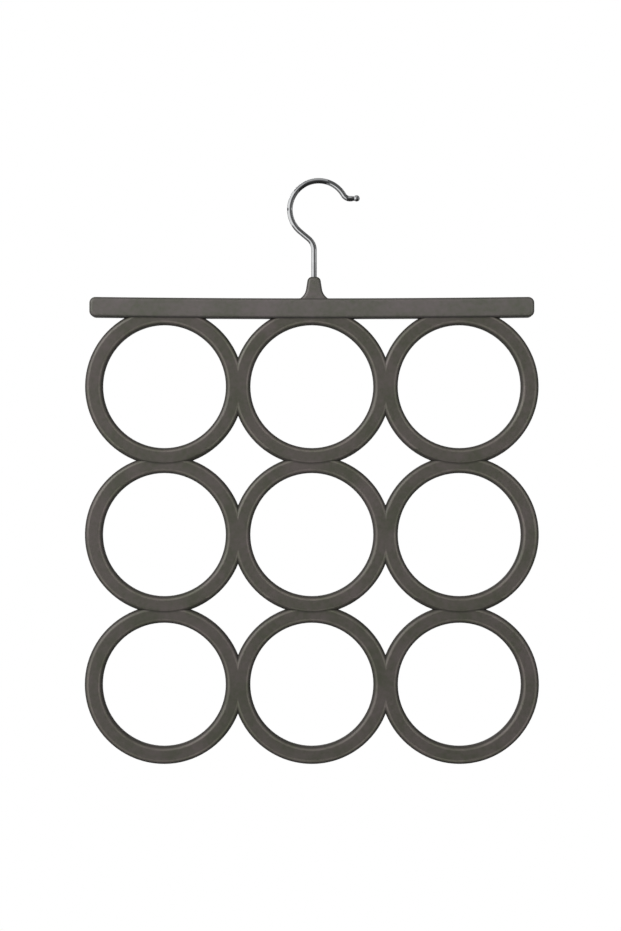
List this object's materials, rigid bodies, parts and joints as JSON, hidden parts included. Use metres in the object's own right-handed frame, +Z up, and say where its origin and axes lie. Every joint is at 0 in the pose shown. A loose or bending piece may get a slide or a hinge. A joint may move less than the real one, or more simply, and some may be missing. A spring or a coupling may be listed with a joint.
{
  "type": "scarf hanger",
  "caption": "Flat hanger with rows of round rings under a straight bar and a wire hook that swivels in its neck, for hanging scarves on a closet rail.",
  "frame": {"origin": "saddle of the hook: underside of the wire at the top of the loop, where a rail carries the hanger", "axes": "+Z up, +X to the right seen from the front, the front faces -Y"},
  "size_m": [0.3076, 0.013, 0.3974],
  "materials": {
    "taupe_plastic": "satin warm dark grey moulding",
    "hook_chrome": "bright chrome plate",
    "washer_steel": "zinc plated steel",
    "spring_steel": "oiled spring steel",
    "bush_plastic": "natural white bearing plastic"
  },
  "bodies": {
    "hook": {"swivel_hook": "hook_chrome", "hook_retaining_ring": "spring_steel", "thrust_washer": "washer_steel"},
    "hanger": {"bar_front_shell": "taupe_plastic", "bar_rear_shell": "taupe_plastic", "neck_bush": "bush_plastic", "top_row_front_shell": "taupe_plastic", "top_row_rear_shell": "taupe_plastic", "middle_row_front_shell": "taupe_plastic", "middle_row_rear_shell": "taupe_plastic", "bottom_row_front_shell": "taupe_plastic", "bottom_row_rear_shell": "taupe_plastic"}
  },
  "joints": [
    {"name": "hook_swivel", "type": "hinge", "parent": "hook", "child": "hanger", "pos_m": [-0.0032, 0, -0.0746], "axis": [0, 0, 1], "continuous": true}
  ]
}
